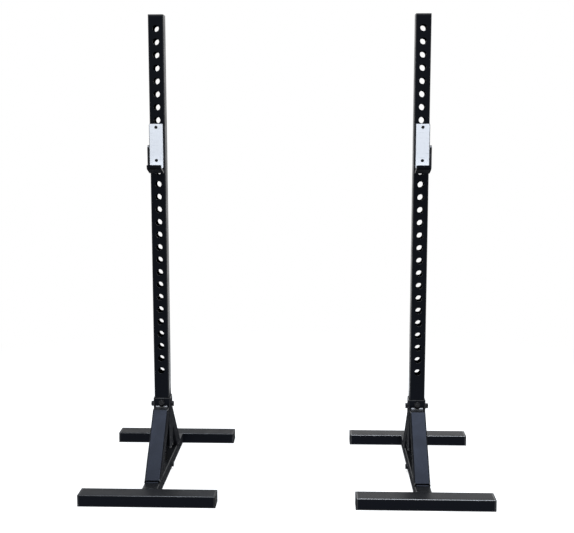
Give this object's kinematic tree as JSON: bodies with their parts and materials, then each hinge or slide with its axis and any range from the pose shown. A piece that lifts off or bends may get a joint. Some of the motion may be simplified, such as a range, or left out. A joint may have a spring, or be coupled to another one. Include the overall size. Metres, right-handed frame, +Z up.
{
  "type": "squat stand",
  "caption": "Free-standing squat stands with perforated square uprights on braced I-shaped floor bases, each carrying a plastic-lined J-hook for a barbell.",
  "frame": {"origin": "on the floor, midway between the two uprights", "axes": "+Z up, +X along a bar laid across the hooks, -Y towards the lifter and the side the hooks are on"},
  "size_m": [1.5436, 0.86, 1.8256],
  "materials": {
    "black_coat": "satin powder coat",
    "black_plastic": "fine matt moulded plastic",
    "white_plastic": "smooth dense plastic, lightly marked by the bar",
    "dark_steel": "black oxide, slightly worn on the corners",
    "plain_steel": "turned steel"
  },
  "bodies": {
    "stands": {"left_spine_tube": "black_coat", "left_front_cross_tube": "black_coat", "left_front_outer_plug": "black_plastic", "left_front_inner_plug": "black_plastic", "left_rear_cross_tube": "black_coat", "left_rear_outer_plug": "black_plastic", "left_rear_inner_plug": "black_plastic", "left_front_brace": "black_coat", "left_rear_brace": "black_coat", "left_socket": "black_coat", "left_socket_plate": "black_coat", "left_socket_front_bolt": "dark_steel", "left_socket_front_nut": "dark_steel", "left_socket_side_bolt": "dark_steel", "left_socket_side_nut": "dark_steel", "left_spine_bolt": "dark_steel", "left_spine_nut": "dark_steel", "left_upright": "black_coat", "left_upright_cap": "black_plastic", "right_spine_tube": "black_coat", "right_front_cross_tube": "black_coat", "right_front_outer_plug": "black_plastic", "right_front_inner_plug": "black_plastic", "right_rear_cross_tube": "black_coat", "right_rear_outer_plug": "black_plastic", "right_rear_inner_plug": "black_plastic", "right_front_brace": "black_coat", "right_rear_brace": "black_coat", "right_socket": "black_coat", "right_socket_plate": "black_coat", "right_socket_front_bolt": "dark_steel", "right_socket_front_nut": "dark_steel", "right_socket_side_bolt": "dark_steel", "right_socket_side_nut": "dark_steel", "right_spine_bolt": "dark_steel", "right_spine_nut": "dark_steel", "right_upright": "black_coat", "right_upright_cap": "black_plastic"},
    "left_pin": {"left_hook_pin": "plain_steel"},
    "left_hook": {"left_hook_plate": "black_coat", "left_hook_guard": "black_coat", "left_hook_liner": "white_plastic", "left_hook_pad": "white_plastic", "left_hook_upper_screw": "dark_steel", "left_hook_lower_screw": "dark_steel"},
    "right_pin": {"right_hook_pin": "plain_steel"},
    "right_hook": {"right_hook_plate": "black_coat", "right_hook_guard": "black_coat", "right_hook_liner": "white_plastic", "right_hook_pad": "white_plastic", "right_hook_upper_screw": "dark_steel", "right_hook_lower_screw": "dark_steel"}
  },
  "joints": [
    {"name": "left_pin_slide", "type": "slide", "parent": "stands", "child": "left_pin", "axis": [0, -1, 0], "range_m": [0, 0.075]},
    {"name": "left_hook_swing", "type": "hinge", "parent": "left_pin", "child": "left_hook", "pos_m": [-0.515, 0, 1.3723], "axis": [0, 1, 0], "range_deg": [0, 90]},
    {"name": "right_pin_slide", "type": "slide", "parent": "stands", "child": "right_pin", "axis": [0, -1, 0], "range_m": [0, 0.075]},
    {"name": "right_hook_swing", "type": "hinge", "parent": "right_pin", "child": "right_hook", "pos_m": [0.515, 0, 1.3723], "axis": [0, -1, 0], "range_deg": [0, 90]}
  ]
}
